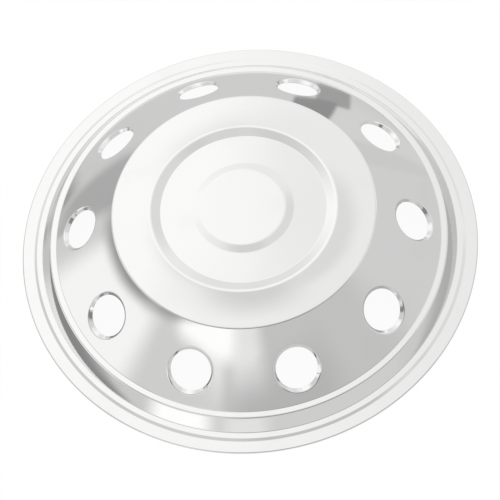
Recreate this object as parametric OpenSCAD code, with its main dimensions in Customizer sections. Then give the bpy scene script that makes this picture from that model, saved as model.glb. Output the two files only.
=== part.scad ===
// Wheel simulator: the polished dress cover of a 22.5 inch truck wheel with ten hand holes.
// One disc of stainless sheet, drawn and pressed to shape. It lies here on its rim lip with the
// dome up: the origin is the middle of the circle that it rests on, and +Z is the wheel's axis,
// pointing away from the truck. Every radius and height below is of the bright outer face, and
// the back of the sheet is that face moved in by the sheet's thickness.

/* [Sheet] */
// Thickness of the stainless sheet
sheet_t = 1; // [0.7:0.1:1.2]

/* [Rim lip] */
// Diameter over the turned-down edge
outer_d = 590; // [580:1:600]
// Bend radius of the turned-down edge
edge_r = 1.5; // [1.3:0.1:3]
// Height of its straight end below the bend
edge_end_h = 0.3; // [0.1:0.1:3]
// Width of the outer flat, with the turned-down edge
lip_outer_w = 15.5; // [12:0.5:18]
// Width of the slope between the two flats of the lip
lip_step_w = 3.5; // [2:0.1:5]
// Height of the inner flat above the outer flat
lip_step_h = 1.2; // [0.4:0.1:2.5]
// Width of the inner flat
lip_inner_w = 7.5; // [5:0.5:10]

/* [Wall and ledge] */
// Width that the wall covers, seen from the front
wall_w = 12.5; // [8:0.5:16]
// Height of the wall
wall_h = 17; // [10:0.5:22]
// Width of the ledge on top of the wall
ledge_w = 8; // [6:0.5:10]
// Bend radius where the wall meets the lip
wall_foot_r = 1.5; // [0.8:0.1:2.5]
// Bend radius where the wall meets the ledge
wall_top_r = 3; // [1.5:0.1:3.5]

/* [Cone] */
// Width that the cone covers, seen from the front
cone_w = 81.5; // [72:0.5:90]
// Height of the cone above the ledge
cone_h = 67.5; // [60:0.5:75]
// Bend radius where the cone meets the ledge
cone_foot_r = 2; // [1:0.1:3]
// Bend radius where the cone meets the face
cone_top_r = 4; // [2:0.1:6]

/* [Face] */
// Width of the outer band of the face
face_outer_w = 26.5; // [20:0.5:32]
// Fall of the outer band towards its edge, in degrees
face_outer_tilt = 3.5; // [2:0.1:4.5]
// Width of the inner band of the face, up to its crest
face_inner_w = 22.5; // [18:0.5:27]
// Fall of the inner band away from the crest, in degrees
face_inner_tilt = 9; // [7:0.1:11]
// Bend radius of the crest
crest_r = 12; // [4:0.5:16]

/* [Dish and centre] */
// Width of the slope from the crest down to the dish
crest_slope_w = 12.5; // [10:0.5:16]
// Height of that slope
crest_slope_h = 3.1; // [2:0.1:4]
// Bend radius at the foot of that slope
dish_foot_r = 3; // [1:0.1:5]
// Width of the dish
dish_w = 40.5; // [34:0.5:48]
// Rise of the dish towards the centre, in degrees
dish_tilt = 2.5; // [1:0.1:4]
// Width of the slope round the raised centre
centre_slope_w = 11; // [9:0.5:14]
// Height of the raised centre above the dish
centre_h = 1.8; // [1:0.1:3]
// Bend radius at the foot and the top of the raised centre
centre_r = 22; // [6:1:30]

/* [Hand holes] */
// Number of hand holes
hole_count = 10; // [6:1:12]
// Clear diameter of a hand hole
hole_d = 52; // [46:1:56]
// Width of the lip that is turned in round a hand hole
hole_lip_w = 4.5; // [3.5:0.5:6]
// Angle between that lip and the cone, in degrees
hole_lip_tilt = 45; // [38:1:52]
// Width of plain cone between that lip and the foot of the cone
hole_foot_gap = 13.6; // [8:0.1:18]

/* [Hidden] */
// Smoothness of everything round
$fn = 180;
// Widest turn of one straight piece of a bend, in degrees
bend_step = 9;
// A right angle, in degrees
quarter_turn = 90;
// Share of the narrower band of the face that the soft bend between the two bands takes
face_blend_share = 0.85;
// How far a hand hole's lip stands proud before its bright face is cut
lip_extra = 0.5;
// How far the tools for a hand hole reach above the plane that touches the cone there
tool_top = 3;

// Radii of the outer face, from the turned-down edge inwards
outer_r = outer_d / 2;
step_foot_r = outer_r - lip_outer_w;
step_top_r = step_foot_r - lip_step_w;
wall_base_r = step_top_r - lip_inner_w;
ledge_r = wall_base_r - wall_w;
cone_base_r = ledge_r - ledge_w;
face_r = cone_base_r - cone_w;
face_break_r = face_r - face_outer_w;
crest_c_r = face_break_r - face_inner_w;
dish_r = crest_c_r - crest_slope_w;
centre_foot_r = dish_r - dish_w;
centre_top_r = centre_foot_r - centre_slope_w;

// Heights of the outer face, from the cut edge upwards
edge_h = edge_r + edge_end_h;
lip_z = edge_h + lip_step_h;
ledge_z = lip_z + wall_h;
face_z = ledge_z + cone_h;
face_break_z = face_z + face_outer_w * tan(face_outer_tilt);
crest_z = face_break_z + face_inner_w * tan(face_inner_tilt);
dish_z = crest_z - crest_slope_h;
centre_foot_z = dish_z + dish_w * tan(dish_tilt);
centre_z = centre_foot_z + centre_h;

// The soft bend between the two bands of the face
face_blend_w = face_blend_share * min(face_outer_w, face_inner_w);
face_blend_r = face_blend_w / tan((face_inner_tilt - face_outer_tilt) / 2);

// The lip of a hand hole, which starts at the cone and ends at the clear hole
hole_r = hole_d / 2;
hole_lip_r = hole_r + hole_lip_w;
hole_lip_h = hole_lip_w * tan(hole_lip_tilt);
lip_top_r = hole_lip_r + tool_top / tan(hole_lip_tilt);
tool_depth = hole_lip_h + 2 * sheet_t;

// The cone, and where the hand holes' axes meet its outer face
cone_tilt = atan2(cone_h, cone_w);
hole_up = hole_foot_gap + hole_lip_r;
hole_c_r = cone_base_r - hole_up * cos(cone_tilt);
hole_z = ledge_z + hole_up * sin(cone_tilt);

// Corners of the outer face from the axis to the cut edge: radius, height and bend radius
corners = [
    [0, centre_z, 0],
    [centre_top_r, centre_z, centre_r],
    [centre_foot_r, centre_foot_z, centre_r],
    [dish_r, dish_z, dish_foot_r],
    [crest_c_r, crest_z, crest_r],
    [face_break_r, face_break_z, face_blend_r],
    [face_r, face_z, cone_top_r],
    [cone_base_r, ledge_z, cone_foot_r],
    [ledge_r, ledge_z, wall_top_r],
    [wall_base_r, lip_z, wall_foot_r],
    [step_top_r, lip_z, lip_step_w / 2],
    [step_foot_r, edge_h, lip_step_w / 2],
    [outer_r, edge_h, edge_r],
    [outer_r, 0, 0]
];

function along(a) = [cos(a), sin(a)];
function place(c) = [c[0], c[1]];
function heading(i) = atan2(corners[i + 1][1] - corners[i][1], corners[i + 1][0] - corners[i][0]);

// One corner as an arc. The sheet's back lies on the right of the path, which is below it, so
// depth makes the arc smaller where the path turns right and larger where it turns left.
function bend(i, depth) =
    let (
        start = heading(i - 1),
        turn = heading(i) - start,
        side = sign(turn),
        r = corners[i][2],
        first = place(corners[i]) - r * tan(abs(turn) / 2) * along(start),
        across = start + quarter_turn,
        middle = first + side * r * along(across),
        pieces = ceil(abs(turn) / bend_step) + 1
    )
    [for (k = [0 : pieces])
        middle - side * (r + side * depth) * along(across + turn * k / pieces)];

function face_line(depth) =
    let (last = len(corners) - 1)
    concat(
        [place(corners[0]) + depth * along(heading(0) - quarter_turn)],
        [for (i = [1 : last - 1]) each bend(i, depth)],
        [place(corners[last]) + depth * along(heading(last - 1) - quarter_turn)]
    );

function backwards(line) = [for (i = [len(line) - 1 : -1 : 0]) line[i]];

// A point of a hand hole's lip where its bright face has the radius r, at a depth below that
// face, in the hole's own plane
function lip_at(r, depth) = [
    r + depth * sin(hole_lip_tilt),
    (r - hole_lip_r) * tan(hole_lip_tilt) - depth * cos(hole_lip_tilt)
];

// The whole disc before its hand holes are made
module pressed_disc() {
    rotate_extrude() polygon(concat(face_line(0), backwards(face_line(sheet_t))));
}

// Everything below the middle of the cone's sheet
module below_cone() {
    middle = sheet_t / 2 / cos(cone_tilt);
    rotate_extrude()
        polygon([
            [face_r, face_z - middle],
            [cone_base_r, ledge_z - middle],
            [cone_base_r, 0],
            [face_r, 0]
        ]);
}

// Places its children at one hand hole, with Z along the hole's axis
module at_hole(k) {
    rotate([0, 0, k * 360 / hole_count])
        translate([hole_c_r, 0, hole_z])
            rotate([0, cone_tilt, 0])
                children();
}

// The lip of one hand hole. It reaches out past the cone and stands proud of its bright face, and
// is cut back to both.
module hole_lip() {
    rotate_extrude()
        polygon([
            lip_at(hole_r, -lip_extra),
            lip_at(hole_r, sheet_t),
            lip_at(lip_top_r, sheet_t),
            lip_at(lip_top_r, -lip_extra)
        ]);
}

// The room inside one hand hole, down to the bright face of its lip
module hole_room() {
    rotate_extrude()
        polygon([
            [0, -tool_depth],
            [hole_lip_r - tool_depth / tan(hole_lip_tilt), -tool_depth],
            [lip_top_r, tool_top],
            [0, tool_top]
        ]);
}

// The pressed disc with its hand holes. Each lip meets the cone in a crease, which is widest up and
// down the cone and narrower at its sides, where the cone bows away.
module wheel_cover() {
    color("silver")
        difference() {
            union() {
                pressed_disc();
                intersection() {
                    below_cone();
                    for (k = [0 : hole_count - 1]) at_hole(k) hole_lip();
                }
            }
            for (k = [0 : hole_count - 1]) at_hole(k) hole_room();
        }
}

wheel_cover();
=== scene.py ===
# %% [markdown]
# # A truck's wheel simulator
#
# The object is the polished dress cover of a 22.5 inch truck wheel: one disc of stainless sheet,
# 1 mm thick, pressed into a rim lip, a wall, a ledge, a cone with ten hand holes, and a shallow
# dished face. There is no second piece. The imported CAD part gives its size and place, and this
# script gives it a mirror finish and the studio that the mirror shows.

import math

import bmesh
import bpy
import numpy as np
from mathutils import Matrix, Vector


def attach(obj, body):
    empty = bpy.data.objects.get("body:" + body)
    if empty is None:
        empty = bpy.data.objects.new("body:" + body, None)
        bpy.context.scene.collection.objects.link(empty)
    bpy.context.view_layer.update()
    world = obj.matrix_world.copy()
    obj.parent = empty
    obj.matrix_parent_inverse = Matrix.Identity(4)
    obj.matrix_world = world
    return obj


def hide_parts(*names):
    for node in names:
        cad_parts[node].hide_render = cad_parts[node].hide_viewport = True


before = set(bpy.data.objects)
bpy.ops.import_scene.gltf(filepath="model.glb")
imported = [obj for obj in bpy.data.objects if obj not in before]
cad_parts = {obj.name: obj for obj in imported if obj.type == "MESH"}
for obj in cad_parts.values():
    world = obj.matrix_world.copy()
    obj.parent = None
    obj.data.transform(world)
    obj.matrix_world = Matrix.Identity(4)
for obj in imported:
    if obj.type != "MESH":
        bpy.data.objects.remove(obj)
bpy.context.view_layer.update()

# %% [markdown]
# ## The pressed profile
#
# The real cover is spun and pressed, so a cut through its axis is one thin line with rounded
# corners. A lathe of that line gives everything but the hand holes. A mirror shows each flaw of
# a mesh, so the line is sampled here as true arcs and straights, and each sample keeps the exact
# normal of the sheet. That is better than a bevelled or subdivided mesh, whose normals are only
# guessed from the faces.

# %% Sizes of the sheet, in millimetres
SHEET = 1.0
OUTER_R, EDGE_R, EDGE_END_H = 295.0, 1.5, 0.3
LIP_OUTER_W, LIP_STEP_W, LIP_STEP_H, LIP_INNER_W = 15.5, 3.5, 1.2, 7.5
WALL_W, WALL_H, WALL_FOOT_R, WALL_TOP_R = 12.5, 17.0, 1.5, 3.0
LEDGE_W = 8.0
CONE_W, CONE_H, CONE_FOOT_R, CONE_TOP_R = 81.5, 67.5, 2.0, 4.0
FACE_OUTER_W, FACE_INNER_W, FACE_BLEND_W = 26.5, 22.5, 19.1
FACE_OUTER_TILT, FACE_INNER_TILT = math.radians(3.5), math.radians(9.0)
CREST_R, CREST_SLOPE_W, CREST_SLOPE_H = 12.0, 12.5, 3.1
DISH_FOOT_R, DISH_W, DISH_TILT = 3.0, 40.5, math.radians(2.5)
CENTRE_SLOPE_W, CENTRE_H, CENTRE_BEND_R = 11.0, 1.8, 22.0

step_foot_r = OUTER_R - LIP_OUTER_W
step_top_r = step_foot_r - LIP_STEP_W
wall_base_r = step_top_r - LIP_INNER_W
ledge_r = wall_base_r - WALL_W
cone_base_r = ledge_r - LEDGE_W
face_r = cone_base_r - CONE_W
face_break_r = face_r - FACE_OUTER_W
crest_mid_r = face_break_r - FACE_INNER_W
dish_r = crest_mid_r - CREST_SLOPE_W
centre_foot_r = dish_r - DISH_W
centre_top_r = centre_foot_r - CENTRE_SLOPE_W

edge_h = EDGE_R + EDGE_END_H
lip_z = edge_h + LIP_STEP_H
ledge_z = lip_z + WALL_H
face_z = ledge_z + CONE_H
face_break_z = face_z + FACE_OUTER_W * math.tan(FACE_OUTER_TILT)
crest_z = face_break_z + FACE_INNER_W * math.tan(FACE_INNER_TILT)
dish_z = crest_z - CREST_SLOPE_H
centre_foot_z = dish_z + DISH_W * math.tan(DISH_TILT)
centre_z = centre_foot_z + CENTRE_H
face_blend_r = FACE_BLEND_W / math.tan((FACE_INNER_TILT - FACE_OUTER_TILT) / 2)

# Radius, height and bend radius of each corner, from the axis out to the cut edge
CORNERS = [
    (0.0, centre_z, 0.0),
    (centre_top_r, centre_z, CENTRE_BEND_R),
    (centre_foot_r, centre_foot_z, CENTRE_BEND_R),
    (dish_r, dish_z, DISH_FOOT_R),
    (crest_mid_r, crest_z, CREST_R),
    (face_break_r, face_break_z, face_blend_r),
    (face_r, face_z, CONE_TOP_R),
    (cone_base_r, ledge_z, CONE_FOOT_R),
    (ledge_r, ledge_z, WALL_TOP_R),
    (wall_base_r, lip_z, WALL_FOOT_R),
    (step_top_r, lip_z, LIP_STEP_W / 2),
    (step_foot_r, edge_h, LIP_STEP_W / 2),
    (OUTER_R, edge_h, EDGE_R),
    (OUTER_R, 0.0, 0.0),
]
print("crown at", round(centre_z, 2), "mm,", len(CORNERS), "corners")

# %% Arcs and straights, each sample with its normal
EDGE_ROUND = 0.25  # the sheared edges are broken by this much
LEAST_STEPS = 3  # a bend has at least this many straight steps


def unit(angle):
    """The direction at an angle, in the plane of radius and height."""
    return np.array([math.cos(angle), math.sin(angle)])


def bend_samples(before, corner, after, step):
    """Points and normals of the arc that rounds one corner, every `step` degrees or closer."""
    place = np.array(corner[:2])
    way_in = place - np.array(before[:2])
    way_out = np.array(after[:2]) - place
    start = math.atan2(way_in[1], way_in[0])
    turn = math.atan2(way_out[1], way_out[0]) - start
    first = place - corner[2] * math.tan(abs(turn) / 2) * unit(start)
    side = math.copysign(1.0, turn)
    middle = first + side * corner[2] * unit(start + math.pi / 2)
    count = max(LEAST_STEPS, math.ceil(math.degrees(abs(turn)) / step))
    samples = []
    for k in range(count + 1):
        normal = unit(start + math.pi / 2 + turn * k / count)
        samples.append((middle - side * corner[2] * normal, normal))
    return samples


def sheet_line(step):
    """The bright face's line from the axis to the cut edge, as rows of radius, height, normal."""
    samples = [(np.array(CORNERS[0][:2]), unit(math.pi / 2))]
    for before, corner, after in zip(CORNERS, CORNERS[1:], CORNERS[2:]):
        samples += bend_samples(before, corner, after, step)
    samples.append((np.array([OUTER_R, EDGE_ROUND]), unit(0.0)))
    return np.array([[*place, *normal] for place, normal in samples])


FRONT_STEP, BACK_STEP = 4.5, 9.0  # degrees
front_line = sheet_line(FRONT_STEP)
back_line = sheet_line(BACK_STEP)
print("samples along the bright face and the back:", len(front_line), len(back_line))

# %% [markdown]
# ## The band with the hand holes
#
# On the real cover each hand hole is cut square to the cone and its edge is then turned in, so
# a tight bend runs round the hole and a narrow straight lip goes down from it. The cone bows away
# on both sides of a hole, so the lip is widest up and down the cone and narrower at its sides.
# Cutting the holes with a Boolean would leave long thin faces that show in a mirror. So the band
# of cone that holds them is woven as ten patches, each with spokes that run from the patch's
# four sides, where the points match the lathe's, in to a hole's lip.

# %% The cone and its hand holes
HOLE_COUNT, HOLE_R, HOLE_LIP_W, HOLE_LIP_TILT = 10, 26.0, 4.5, math.radians(45)
HOLE_FOOT_GAP = 13.6  # from a hole's lip down the cone to its foot
HOLE_BEND = 1.5  # how far the bend round a hole reaches into the cone and into the lip
BAND_IN_R, BAND_OUT_R = 180.5, 247.2  # the band of cone that is woven in patches

cone_tilt = math.atan2(CONE_H, CONE_W)
hole_lip_r = HOLE_R + HOLE_LIP_W
hole_mid_r = cone_base_r - (HOLE_FOOT_GAP + hole_lip_r) * math.cos(cone_tilt)
hole_mid_z = ledge_z + (HOLE_FOOT_GAP + hole_lip_r) * math.sin(cone_tilt)

AROUND = 240  # points round the lathe
SIDE_STEPS = 20  # steps along a patch's straight sides
SPOKE_STEPS = 12  # steps from a patch's sides to the bend round its hole
SPOKE_CROWDING = 1.5  # above 1, the steps get shorter towards the hole
BEND_STEPS = 6
CREASE_ROUNDS = 12  # steps towards the crease between cone and lip
across = AROUND // HOLE_COUNT
print("cone tilt", round(math.degrees(cone_tilt), 2), "degrees, holes on a radius of",
      round(hole_mid_r, 2), "mm at a height of", round(hole_mid_z, 2))


def cone_row(radius):
    """A row of the lathe on the cone: radius, height and normal."""
    height = ledge_z + (cone_base_r - radius) * math.tan(cone_tilt)
    return [radius, height, math.sin(cone_tilt), math.cos(cone_tilt)]


def cone_in_hole_plane(radius, angle):
    """A point of the cone, in the x and y of the plane that touches the cone at a hole's middle."""
    x = (radius * np.cos(angle) - hole_mid_r) * math.cos(cone_tilt)
    x -= (hole_mid_r - radius) * math.tan(cone_tilt) * math.sin(cone_tilt)
    return x, radius * np.sin(angle)


def cone_drop(x, y):
    """How far the cone lies below that plane: a negative height."""
    a = hole_mid_r + x * math.cos(cone_tilt)
    bow = math.cos(2 * cone_tilt)
    return math.sin(cone_tilt) * (a - np.sqrt(a * a + y * y * bow)) / bow


def cone_point(x, y):
    """The cone's point over x and y of the hole's plane."""
    return np.stack([x, y, cone_drop(x, y)], 1)


def cone_normal(points):
    """The cone's normal at points on it, in the hole's plane."""
    c, s = math.cos(cone_tilt), math.sin(cone_tilt)
    forward, aside = hole_mid_r + points[:, 0] * c + points[:, 2] * s, points[:, 1]
    radius = np.hypot(forward, aside)
    out_x, out_y = s * forward / radius, s * aside / radius
    return np.stack([c * out_x - s * c, out_y, s * out_x + c * c], 1)


def crease_radius(turn):
    """Where the lip's slope meets the cone, by a few steps that each bring the two closer."""
    r = np.full_like(turn, hole_lip_r)
    for _ in range(CREASE_ROUNDS):
        r = hole_lip_r + cone_drop(r * np.cos(turn), r * np.sin(turn)) / math.tan(HOLE_LIP_TILT)
    return r


def lip_point(r, turn):
    """A point of the lip's straight slope, in the hole's plane."""
    return np.stack([r * np.cos(turn), r * np.sin(turn), (r - hole_lip_r) * math.tan(HOLE_LIP_TILT)], 1)


def patch_sides():
    """Radius and angle of the points round one patch, in order, with no point twice."""
    half = math.pi / HOLE_COUNT
    over = np.linspace(-half, half, across + 1)
    along = np.linspace(BAND_IN_R, BAND_OUT_R, SIDE_STEPS + 1)
    sides = [(BAND_OUT_R, a) for a in over[:-1]] + [(r, half) for r in along[:0:-1]]
    sides += [(BAND_IN_R, a) for a in over[:0:-1]] + [(r, -half) for r in along[:-1]]
    return np.array(sides)


def hole_patch():
    """Rings of one patch from its sides in to the hole: points and normals in the hole's plane."""
    sides = patch_sides()
    end_x, end_y = cone_in_hole_plane(sides[:, 0], sides[:, 1])
    true_turn = np.unwrap(np.arctan2(end_y, end_x))
    even_turn = true_turn[0] + np.arange(len(sides)) * 2 * math.pi / len(sides)
    turn = (true_turn + even_turn) / 2
    crease = crease_radius(turn)
    start_x, start_y = (crease + HOLE_BEND) * np.cos(turn), (crease + HOLE_BEND) * np.sin(turn)
    rings, normals = [], []
    for j in range(SPOKE_STEPS, -1, -1):
        share = (j / SPOKE_STEPS) ** SPOKE_CROWDING
        x, y = start_x + (end_x - start_x) * share, start_y + (end_y - start_y) * share
        rings.append(cone_point(x, y))
        normals.append(cone_normal(rings[-1]))
    bend_end = lip_point(crease - HOLE_BEND * math.cos(HOLE_LIP_TILT), turn)
    inward, up = -math.sin(HOLE_LIP_TILT), math.cos(HOLE_LIP_TILT)
    lip_normal = np.stack([inward * np.cos(turn), inward * np.sin(turn), np.full_like(turn, up)], 1)
    bend_start, corner, first_normal = rings[-1], lip_point(crease, turn), normals[-1]
    for j in range(1, BEND_STEPS + 1):
        t = j / BEND_STEPS
        rings.append((1 - t) ** 2 * bend_start + 2 * t * (1 - t) * corner + t * t * bend_end)
        mixed = (1 - t) * first_normal + t * lip_normal
        normals.append(mixed / np.linalg.norm(mixed, axis=1, keepdims=True))
    rings.append(lip_point(np.full_like(turn, HOLE_R + EDGE_ROUND * math.cos(HOLE_LIP_TILT)), turn))
    normals.append(lip_normal)
    return np.array(rings), np.array(normals)


patch_rings, patch_normals = hole_patch()
print("points in one hand hole's patch:", patch_rings.shape[0] * patch_rings.shape[1])

# %% [markdown]
# ## Weaving the sheet
#
# A pressed sheet has two faces and a thin cut edge. Both faces come from the same samples: the
# back is the bright face moved in by the sheet's thickness along each normal. The cut edges, one
# round the rim lip and one in each hand hole, are broken by a quarter of a millimetre, as a
# deburred edge is. Every corner of every face is told its exact normal, so the mirror is as
# smooth as the arcs are.

# %% The weaver
MM = 0.001  # metres


class Weave:
    """Collects points, faces and the normal of each face's corners."""

    def __init__(self):
        self.points, self.count, self.faces, self.normals = [], 0, [], []

    def add(self, points):
        """Adds points and returns their numbers, in the shape that they came in."""
        points = np.asarray(points, float)
        numbers = np.arange(self.count, self.count + points[..., 0].size).reshape(points.shape[:-1])
        self.points.append(points.reshape(-1, 3))
        self.count += numbers.size
        return numbers

    def strip(self, one, two, one_normals, two_normals, closed=True):
        """Quads between two rings of points."""
        for k in range(len(one) if closed else len(one) - 1):
            n = (k + 1) % len(one)
            self.faces.append((one[k], one[n], two[n], two[k]))
            self.normals.append((one_normals[k], one_normals[n], two_normals[n], two_normals[k]))

    def fan(self, middle, ring, normal):
        """Triangles from one point to a ring round it."""
        for k in range(len(ring)):
            self.faces.append((middle, ring[k], ring[(k + 1) % len(ring)]))
            self.normals.append((normal, normal, normal))


def turned(points, angle):
    """Points turned round the part's axis."""
    c, s = math.cos(angle), math.sin(angle)
    return points @ np.array([[c, s, 0], [-s, c, 0], [0, 0, 1]])


def from_hole_plane(points, k, is_normal=False):
    """Points or normals of hole k's plane, in the part's own axes."""
    c, s = math.cos(cone_tilt), math.sin(cone_tilt)
    lifted = points @ np.array([[c, 0, -s], [0, 1, 0], [s, 0, c]])
    if not is_normal:
        lifted = lifted + np.array([hole_mid_r, 0, hole_mid_z])
    return turned(lifted, k * 2 * math.pi / HOLE_COUNT)


def lathe_ring(row, depth):
    """One ring of the lathe and its normals, `depth` below the bright face."""
    angles = np.arange(AROUND) * 2 * math.pi / AROUND - math.pi / HOLE_COUNT
    r, z = row[:2] - depth * row[2:]
    ring = np.stack([r * np.cos(angles), r * np.sin(angles), np.full(AROUND, z)], 1)
    normals = np.stack([row[2] * np.cos(angles), row[2] * np.sin(angles), np.full(AROUND, row[3])], 1)
    return ring, normals


# %% One face of the sheet
def weave_face(weave, line, depth, flip):
    """Weaves the bright face (depth 0) or the back, and returns the rings along its cut edges."""
    inside = [row for row in line if row[0] < BAND_IN_R][1:]
    inside.append(cone_row(BAND_IN_R))
    outside = [row for row in line if row[0] > BAND_OUT_R]
    sign = -1.0 if flip else 1.0

    def lathe(rows):
        rings = []
        for row in rows:
            ring, normals = lathe_ring(np.array(row), depth)
            rings.append((weave.add(ring), normals * sign))
        for (one, one_n), (two, two_n) in zip(rings, rings[1:]):
            if flip:
                weave.strip(one, two, one_n, two_n)
            else:
                weave.strip(two, one, two_n, one_n)
        return rings

    dome = lathe(inside)
    rim = lathe([cone_row(BAND_OUT_R)] + outside)
    top = weave.add([[0.0, 0.0, line[0][1] - depth]])[0]
    ring = dome[0][0]
    weave.fan(top, ring[::-1] if flip else ring, np.array([0, 0, sign]))

    inner_ring, outer_ring = dome[-1], rim[0]
    ends = [rim[-1]]
    seams = {}
    for k in range(HOLE_COUNT):
        points = from_hole_plane(patch_rings - depth * patch_normals, k)
        normals = from_hole_plane(patch_normals, k, is_normal=True) * sign
        numbers = weave.add(points[1:])
        side = shared_side(weave, points[0], k, inner_ring[0], outer_ring[0], seams)
        rings = np.concatenate([side[None, :], numbers])
        for one, two, one_n, two_n in zip(rings, rings[1:], normals, normals[1:]):
            if flip:
                weave.strip(two, one, two_n, one_n)
            else:
                weave.strip(one, two, one_n, two_n)
        ends.append((rings[-1], normals[-1]))
    return ends


def shared_side(weave, points, k, inner_ring, outer_ring, seams):
    """Numbers of a patch's outermost points, shared with the lathe and with the next patches."""
    numbers = np.empty(len(points), int)
    first = k * across
    numbers[:across] = outer_ring[(first + np.arange(across)) % AROUND]
    numbers[across] = outer_ring[(first + across) % AROUND]
    low = across + SIDE_STEPS
    numbers[low:low + across] = inner_ring[(first + across - np.arange(across)) % AROUND]
    numbers[low + across] = inner_ring[first]
    next_seam, own_seam = (k + 1) % HOLE_COUNT, k
    for start, seam, backwards in ((across + 1, next_seam, True), (low + across + 1, own_seam, False)):
        span = np.arange(start, start + SIDE_STEPS - 1)
        if seam not in seams:
            seams[seam] = weave.add(points[span][::-1] if backwards else points[span])
        numbers[span] = seams[seam][::-1] if backwards else seams[seam]
    return numbers


# %% The cut edges
EDGE_STEPS = 2  # steps in each broken corner of a cut edge


def weave_edge(weave, front, back, along, flip=False):
    """Closes a cut edge from the bright face's last ring to the back's, with broken corners."""
    (front_ring, normals), (back_ring, _) = front, back
    points = np.concatenate(weave.points)
    start = points[front_ring]
    rings = [(front_ring, normals)]
    turns = [(EDGE_ROUND, k / EDGE_STEPS) for k in range(1, EDGE_STEPS + 1)]
    turns += [(SHEET - EDGE_ROUND, 1 + k / EDGE_STEPS) for k in range(EDGE_STEPS)]
    for base, quarters in turns:
        angle = quarters * math.pi / 2
        lean = math.cos(angle) * normals + math.sin(angle) * along
        rings.append((weave.add(start - base * normals + EDGE_ROUND * lean), lean))
    rings.append((back_ring, -normals))
    for (one, one_n), (two, two_n) in zip(rings, rings[1:]):
        if flip:
            weave.strip(two, one, two_n, one_n)
        else:
            weave.strip(one, two, one_n, two_n)


weave = Weave()
front_ends = weave_face(weave, front_line, 0.0, flip=False)
back_ends = weave_face(weave, back_line, SHEET, flip=True)
down = np.tile([0.0, 0.0, -1.0], (AROUND, 1))
weave_edge(weave, front_ends[0], back_ends[0], down, flip=True)
for k in range(HOLE_COUNT):
    ring_normals = front_ends[k + 1][1]
    axis = from_hole_plane(np.array([0.0, 0.0, 1.0]), k, is_normal=True)
    up_share = ring_normals @ axis
    inward = ring_normals - up_share[:, None] * axis
    inward /= np.linalg.norm(inward, axis=1, keepdims=True)
    along = np.sqrt(1 - up_share ** 2)[:, None] * -axis + up_share[:, None] * inward
    weave_edge(weave, front_ends[k + 1], back_ends[k + 1], along)
print("points", weave.count, "faces", len(weave.faces))


# %% The cover as an object
def finished_mesh(name, weave):
    """The woven sheet as a Blender mesh in metres, with the exact normal at each face's corners."""
    mesh = bpy.data.meshes.new(name)
    points = (np.concatenate(weave.points) * MM).tolist()
    mesh.from_pydata(points, [], [tuple(map(int, face)) for face in weave.faces])
    mesh.polygons.foreach_set("use_smooth", np.ones(len(mesh.polygons), bool))
    mesh.normals_split_custom_set([tuple(n) for corner in weave.normals for n in corner])
    mesh.validate(verbose=True)
    return mesh


cover = bpy.data.objects.new("polished_cover", finished_mesh("polished_cover", weave))
bpy.context.scene.collection.objects.link(cover)
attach(cover, "root")
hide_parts("wheel_cover")
checker = bmesh.new()
checker.from_mesh(cover.data)
open_edges = sum(1 for e in checker.edges if not e.is_contiguous)
volume = checker.calc_volume(signed=True)
print("open edges:", open_edges, " volume, mm3:", round(volume * 1e9), " triangles:",
      sum(len(f.verts) - 2 for f in checker.faces))
checker.free()

# %% [markdown]
# ## Camera
#
# The photograph looks down on the cover from a little over two and a half metres, through a long
# lens that hardly narrows the far side, and it is tipped a little to one side. The lens fills the
# sensor's width, so the camera needs no shift.

# %% The camera of the photograph
CAMERA_AZIMUTH, CAMERA_ELEVATION, CAMERA_ROLL = -81.03, 61.91, 9.31  # degrees
CAMERA_DISTANCE, CAMERA_RIGHT, CAMERA_UP = 2.5896, 0.0017, -0.0112  # metres from the part's origin
CAMERA_LENS, SENSOR_WIDTH = 144.0, 36.0  # millimetres
CLIP_START, CLIP_END = 0.1, 50.0  # metres


def aim_camera(camera):
    """Places the camera on its direction from the origin, and rolls it about the line of sight."""
    angles = (CAMERA_AZIMUTH, CAMERA_ELEVATION, CAMERA_ROLL)
    azimuth, elevation, roll = (math.radians(angle) for angle in angles)
    back = Vector((math.cos(elevation) * math.cos(azimuth), math.cos(elevation) * math.sin(azimuth),
                   math.sin(elevation)))
    right = Vector((0, 0, 1)).cross(back).normalized()
    up = back.cross(right)
    rolled_right = math.cos(roll) * right - math.sin(roll) * up
    rolled_up = math.sin(roll) * right + math.cos(roll) * up
    axes = Matrix((rolled_right, rolled_up, back)).transposed()
    place = CAMERA_RIGHT * rolled_right + CAMERA_UP * rolled_up + CAMERA_DISTANCE * back
    camera.matrix_world = Matrix.Translation(place) @ axes.to_4x4()


camera_data = bpy.data.cameras.new("camera")
camera_data.lens, camera_data.sensor_width = CAMERA_LENS, SENSOR_WIDTH
camera_data.clip_start, camera_data.clip_end = CLIP_START, CLIP_END
camera = bpy.data.objects.new("camera", camera_data)
bpy.context.scene.collection.objects.link(camera)
aim_camera(camera)
bpy.context.scene.camera = camera
print("camera at", [round(v, 3) for v in camera.matrix_world.translation])

# %% [markdown]
# ## Shader maths
#
# A finish is a formula: how rough the sheet is at each point, how far a scratch dips. Node trees
# are hard to read as code, so one small class wraps a socket and turns + - * into Math nodes.
# Any other node comes from `node`, which takes its type, its settings and what goes into it.

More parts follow.
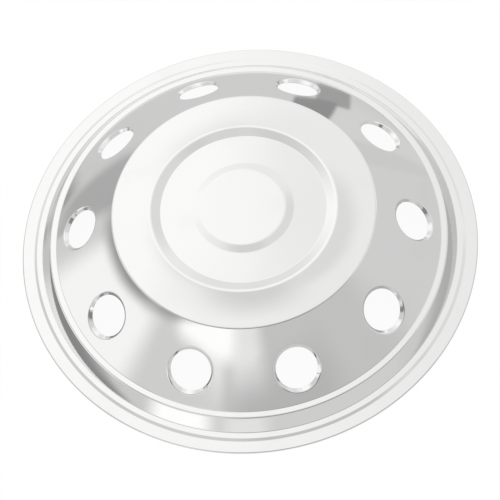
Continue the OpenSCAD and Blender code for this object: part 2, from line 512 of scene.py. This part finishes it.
# %% A socket that can be added and multiplied
class Wire:
    """An output socket of a node tree. Python's operators on it add Math nodes."""

    def __init__(self, tree, socket):
        self.tree, self.socket = tree, socket

    def math(self, operation, *values):
        """A Math node on this wire's tree. No value means this wire alone."""
        return node(self.tree, "ShaderNodeMath", {"operation": operation}, *(values or (self,)))

    def __add__(self, other):
        return self.math("ADD", self, other)

    def __sub__(self, other):
        return self.math("SUBTRACT", self, other)

    def __mul__(self, other):
        return self.math("MULTIPLY", self, other)

    def __rsub__(self, other):
        return self.math("SUBTRACT", other, self)

    __radd__, __rmul__ = __add__, __mul__

    def soft_step(self, low, high):
        """0 below low, 1 above high, and a smooth run between them."""
        return node(self.tree, "ShaderNodeMapRange", {"interpolation_type": "SMOOTHSTEP"},
                    Value=self, **{"From Min": low, "From Max": high})


def node(tree, kind, settings=None, *values, output=0, **named):
    """Adds one node, fills its sockets in order or by name, and returns one of its outputs."""
    made = tree.nodes.new(kind)
    for key, value in (settings or {}).items():
        setattr(made, key, value)
    for key, value in [*enumerate(values), *named.items()]:
        if isinstance(value, Wire):
            tree.links.new(value.socket, made.inputs[key])
        elif value is not None:
            made.inputs[key].default_value = value
    return Wire(tree, made.outputs[output]) if made.outputs else None


def dot(tree, vector, axis):
    """How far a vector reaches along an axis."""
    settings = {"operation": "DOT_PRODUCT"}
    return node(tree, "ShaderNodeVectorMath", settings, vector, axis, output="Value")


def grey(tree, value):
    """A grey colour from one value."""
    return node(tree, "ShaderNodeCombineColor", None, value, value, value)


def mix_colours(tree, share, low, high):
    """A colour between two others. Its colour sockets come after the Mix node's other kinds."""
    return node(tree, "ShaderNodeMix", {"data_type": "RGBA"}, share, *[None] * 5, low, high, output=2)


def fresh_tree(owner):
    """The empty node tree of a material or a world."""
    owner.use_nodes = True
    owner.node_tree.nodes.clear()
    return owner.node_tree


# %% [markdown]
# ## The studio
#
# A mirror has hardly a look of its own: it shows the room. The photograph's room is bright behind
# the cover and above it, with one window beyond it and another low on the left. It is greyer
# towards the camera, where an upright lamp stands to the left of the lens. Real lamps and cards
# would do, but they would also throw shadows and noise. So the room is a formula of direction in
# the world, and only reflected rays see it: each panel is given by where it stands and how high
# it reaches. Camera rays and plain light get an even white sky.

# %% Panels round the cover
camera_turn = math.radians(CAMERA_AZIMUTH)
toward_camera = Vector((math.cos(camera_turn), math.sin(camera_turn), 0))


def panel_axes(azimuth):
    """The way to a panel and the way along it. Azimuth 0 is towards the camera, 90 to its right."""
    ahead = Matrix.Rotation(math.radians(azimuth), 3, "Z") @ toward_camera
    return ahead, Vector((-ahead.y, ahead.x, 0))


DEGREES = math.degrees(1)  # degrees in a radian


def turn_from(tree, azimuth, place):
    """Degrees round the axis from an azimuth to a place, from -180 to 180."""
    ahead, along = panel_axes(azimuth)
    aside = dot(tree, place, along)
    return aside.math("ARCTAN2", aside, dot(tree, place, ahead)) * DEGREES


def panel(off, reach, half_width, low, high, side_blur, end_blur):
    """1 inside a panel and 0 outside it, for a place's turn from the panel's middle and its reach:
    in the sky its elevation, on the floor its radius, on a screen its height."""
    off = off.math("ABSOLUTE")
    inside = 1 - off.soft_step(half_width - side_blur, half_width + side_blur)
    over = reach.soft_step(low - end_blur, low + end_blur)
    under = 1 - reach.soft_step(high - end_blur, high + end_blur)
    return inside * over * under


def paint_panels(tree, place, reach, level, panels):
    """The brightness of each place: an even level with the panels laid over it in their order."""
    for azimuth, *shape, brightness in panels:
        mask = panel(turn_from(tree, azimuth, place), reach, *shape)
        level = level + mask * (brightness - level)
    return level


# %% The room that the mirror shows
SKY_LEVEL = 1.0  # what all other rays get
ROOM_LEVEL = 0.77
# azimuth, half width, lowest, highest, blur of the sides, blur of the ends, brightness
ROOM = [
    (180, 50, 14, 36, 16, 4, 0.94),    # the far wall
    (180, 48, 36, 76, 12, 6, 1.03),    # the bright ceiling beyond the cover
    (-163, 21, 43, 69, 9, 7, 1.20),    # a window in it, to the left
    (139, 12, 36, 78, 6, 6, 0.88),     # a duller stretch, to the right
    (180, 50, 15, 22, 14, 3, 1.08),    # the foot of the far wall
    (95, 32, 34, 74, 10, 6, 0.88),     # the right-hand side
    (112, 30, 28, 48, 10, 5, 0.92),
    (22, 46, 20, 80, 12, 6, 0.67),     # the camera's own side
    (0, 82, 46, 60, 10, 3, 0.28),      # the dark ceiling over the camera
    (0, 45, 56, 69, 10, 3, 0.28),
    (-93, 24, 3, 33, 7, 4, 1.14),      # a low window to the left
    (-12, 9, 34, 46, 6, 1, 0.98),      # a pale screen beside the lens
    (-33, 8, 33, 46, 4, 1, 1.02),      # the upright lamp
    (-40, 12, -5, 9, 5, 3, 1.26),      # its foot
    (-13, 9, -5, 9, 5, 3, 0.95),
    (-138, 9, -20, 3, 4, 3, 0.53),     # a doorway behind, to the left
    (180, 180, 81, 91, 1, 4, 0.84),    # straight overhead
]


def paint_world(world):
    """The room for reflected rays, and an even white sky for all others."""
    tree = fresh_tree(world)
    direction = node(tree, "ShaderNodeTexCoord", None, output="Generated")
    rise = node(tree, "ShaderNodeSeparateXYZ", None, direction, output="Z")
    elevation = rise.math("ARCSINE") * DEGREES
    room = paint_panels(tree, direction, elevation, ROOM_LEVEL, ROOM)
    mirrored = node(tree, "ShaderNodeLightPath", None, output="Is Glossy Ray")
    shown = SKY_LEVEL + mirrored * (room - SKY_LEVEL)
    background = node(tree, "ShaderNodeBackground", None, grey(tree, shown), 1.0)
    node(tree, "ShaderNodeOutputWorld", None, background)


world = bpy.data.worlds.new("studio")
bpy.context.scene.world = world
paint_world(world)
bpy.context.scene.view_settings.view_transform = "Standard"
print("panels in the room:", len(ROOM))

# %% [markdown]
# ## The floor
#
# The photograph has a white background with nothing on it. The floor here is a card that glows
# nearly white by itself and returns only a small share of the light on it. So it stays white, also
# seen through the hand holes, and still keeps a faint soft shadow under the cover. The ground that
# the real cover mirrors is greyer, and darkest to its left. So for reflected rays, and only for
# them, the floor shows the same kind of panels as the room, placed by radius.

# %% A pale floor
MM_IN_METRE = 1000.0
FLOOR_HALF = 12.0  # metres
FLOOR_GLOW, FLOOR_SHARE = 0.93, 0.07  # its own light, and the share of other light that it returns
FLOOR_LEVEL = 0.73
# azimuth, half width, nearest, furthest in mm, blur of the sides, blur of the ends, brightness
GROUND = [
    (-74, 30, -500, 440, 10, 120, 0.30),    # dark ground to the left of the cover
    (70, 38, -500, 420, 14, 100, 0.52),     # greyer to the right
    (-135, 13, 550, 9000, 6, 80, 0.50),     # the doorway's shadow
    (-118, 10, 300, 500, 5, 60, 0.38),
    (130, 22, 380, 900, 12, 90, 0.79),      # pale ground beyond, to the right
    (147.4, 5.0, 318, 420, 0.8, 8, 0.42),   # a dark, angular patch close to the cover
    (152.4, 6.2, 398, 900, 0.8, 8, 0.34),
]


def stage_piece(name, points, faces):
    """Adds a piece of the studio, which isn't part of the object."""
    mesh = bpy.data.meshes.new(name)
    mesh.from_pydata(points, [], faces)
    made = bpy.data.objects.new(name, mesh)
    bpy.context.scene.collection.objects.link(made)
    return made


def floor_finish():
    """A nearly white glowing card, which reflected rays see as the painted ground."""
    material = bpy.data.materials.new("floor_white")
    tree = fresh_tree(material)
    place = node(tree, "ShaderNodeTexCoord", None, output="Object")
    length = node(tree, "ShaderNodeVectorMath", {"operation": "LENGTH"}, place, output="Value")
    radius = length * MM_IN_METRE
    seen = paint_panels(tree, place, radius, FLOOR_LEVEL, GROUND)
    card = node(tree, "ShaderNodeBsdfDiffuse", None, (FLOOR_SHARE, FLOOR_SHARE, FLOOR_SHARE, 1))
    glow = node(tree, "ShaderNodeEmission", None, (FLOOR_GLOW, FLOOR_GLOW, FLOOR_GLOW, 1), 1.0)
    lit_card = node(tree, "ShaderNodeAddShader", None, card, glow)
    in_mirror = node(tree, "ShaderNodeEmission", None, grey(tree, seen), 1.0)
    mirrored = node(tree, "ShaderNodeLightPath", None, output="Is Glossy Ray")
    mixed = node(tree, "ShaderNodeMixShader", None, mirrored, lit_card, in_mirror)
    node(tree, "ShaderNodeOutputMaterial", None, mixed)
    return material


floor_corners = [(x * FLOOR_HALF, y * FLOOR_HALF, 0) for x, y in ((-1, -1), (1, -1), (1, 1), (-1, 1))]
floor = stage_piece("floor", floor_corners, [(0, 1, 2, 3)])
floor.data.materials.append(floor_finish())
print("panels on the floor:", len(GROUND))

# %% [markdown]
# ## Four screens close to the cover
#
# Every straight line down the cone has one normal, so a far-off room gives it one grey from top
# to bottom. In the photograph the cone's top is dark along the left of the face, and near the
# camera its foot is darker than its top. Only something close to the cover does that: the rays
# from the top of the cone pass higher over it than those from the foot. So three curved screens
# stand round the cover, and a fourth one beyond it lights the step of the rim's lip. Only
# reflected rays see them. Each is clear but for one soft patch, dark in the first two and bright
# in the others. A patch can climb as it goes round, as the edge of a leaning card would.

# %% The screens
SCREEN_R, SCREEN_LOW, SCREEN_HIGH = 0.45, 0.01, 0.36  # metres
SCREEN_STEPS = 48
# name, azimuth, half width, climb in mm a degree, lowest, highest, blur of sides, ends, brightness
SCREENS = [
    ("screen_left", -77.0, 39.0, 2.36, 182.0, 208.0, 13.0, 13.0, 0.34),
    ("screen_front", 4.6, 22.0, 1.22, 104.0, 218.0, 9.0, 50.0, 0.57),
    ("screen_lamp", -32.0, 16.0, 0.0, 234.0, 330.0, 5.0, 20.0, 1.25),
    ("screen_beyond", 140.0, 42.0, -2.0, 95.0, 195.0, 6.0, 8.0, 1.13),
]


def screen_strip(azimuth, half_width):
    """Points and faces of an upright strip of a cylinder round the cover."""
    start = math.radians(CAMERA_AZIMUTH + azimuth - half_width)
    turn = math.radians(2 * half_width) / SCREEN_STEPS
    ways = [(math.cos(start + k * turn), math.sin(start + k * turn)) for k in range(SCREEN_STEPS + 1)]
    points = [(SCREEN_R * x, SCREEN_R * y, z) for z in (SCREEN_LOW, SCREEN_HIGH) for x, y in ways]
    over = len(ways)
    return points, [(k, k + 1, over + k + 1, over + k) for k in range(SCREEN_STEPS)]


def screen_finish(name, azimuth, climb, shape, brightness):
    """Clear, but for one soft patch of even brightness."""
    material = bpy.data.materials.new(name)
    tree = fresh_tree(material)
    place = node(tree, "ShaderNodeTexCoord", None, output="Object")
    height = node(tree, "ShaderNodeSeparateXYZ", None, place, output="Z") * MM_IN_METRE
    off = turn_from(tree, azimuth, place)
    patch = panel(off, height - off * climb, *shape)
    clear = node(tree, "ShaderNodeBsdfTransparent", None)
    card = node(tree, "ShaderNodeEmission", None, (brightness, brightness, brightness, 1), 1.0)
    mixed = node(tree, "ShaderNodeMixShader", None, patch, clear, card)
    node(tree, "ShaderNodeOutputMaterial", None, mixed)
    return material


for name, azimuth, half_width, climb, low, high, side_blur, end_blur, brightness in SCREENS:
    screen = stage_piece(name, *screen_strip(azimuth, half_width + side_blur))
    screen.visible_camera = screen.visible_diffuse = screen.visible_shadow = False
    screen.visible_transmission = screen.visible_volume_scatter = False
    shape = (half_width, low, high, side_blur, end_blur)
    screen.data.materials.append(screen_finish(name, azimuth, climb, shape, brightness))
print("screens:", len(SCREENS))

# %% [markdown]
# ## Polished stainless steel
#
# The sheet is buffed to a mirror after pressing. Close to, a buffed sheet isn't perfect: the
# wheel leaves hair-fine rings round the axis, the press leaves the metal very slightly wavy, and
# handling leaves faint smudges that blur a reflection a little. Rings, waves and smudges are
# three noises. The rings run on the distance from the axis, so they follow the spinning.

# %% The steel
BRIGHT_STEEL, DULL_STEEL = (0.795, 0.795, 0.790, 1), (0.755, 0.755, 0.750, 1)
RING_PITCH = 1500.0  # rings of the polishing wheel, in noise cells per metre
WAVE_PITCH = 20.0  # waves that the press leaves, in noise cells per metre
SMUDGE_PITCH = 14.0  # smudges, in noise cells per metre
SMUDGE_START, SMUDGE_FULL = 0.5, 0.8  # where the noise begins to smudge, and where it does so fully
SMUDGE_DULLS, RING_DULLS = 0.6, 0.2  # how far each takes the steel's colour to the duller one
POLISH, RING_BLUR, SMUDGE_BLUR = 0.05, 0.03, 0.06  # roughness, and what rings and smudges add
RING_RELIEF = 0.004  # depth of the rings against that of the waves
RELIEF_STRENGTH, RELIEF_DEPTH = 0.5, 0.0001


def polished_steel():
    """A mirror with fine rings, slight waves and faint smudges."""
    material = bpy.data.materials.new("polished_steel")
    tree = fresh_tree(material)
    place = node(tree, "ShaderNodeTexCoord", None, output="Object")
    x = node(tree, "ShaderNodeSeparateXYZ", None, place, output="X")
    y = node(tree, "ShaderNodeSeparateXYZ", None, place, output="Y")
    radius = (x * x + y * y).math("SQRT")
    rings = node(tree, "ShaderNodeTexNoise", {"noise_dimensions": "1D"},
                 W=radius, Scale=RING_PITCH, Detail=3.0)
    waves = node(tree, "ShaderNodeTexNoise", None, Vector=place, Scale=WAVE_PITCH, Detail=1.0)
    smudges = node(tree, "ShaderNodeTexNoise", None, Vector=place, Scale=SMUDGE_PITCH, Detail=5.0)
    smudged = smudges.soft_step(SMUDGE_START, SMUDGE_FULL)
    shine = mix_colours(tree, smudged * SMUDGE_DULLS + rings * RING_DULLS, BRIGHT_STEEL, DULL_STEEL)
    roughness = POLISH + rings * RING_BLUR + smudged * SMUDGE_BLUR
    relief = waves + rings * RING_RELIEF
    dents = node(tree, "ShaderNodeBump", None,
                 Strength=RELIEF_STRENGTH, Distance=RELIEF_DEPTH, Height=relief)
    steel = node(tree, "ShaderNodeBsdfPrincipled", None, **{
        "Base Color": shine, "Metallic": 1.0, "Roughness": roughness, "Normal": dents})
    node(tree, "ShaderNodeOutputMaterial", None, steel)
    return material


cover.data.materials.append(polished_steel())
print("finish on", cover.name, ":", cover.data.materials[0].name)
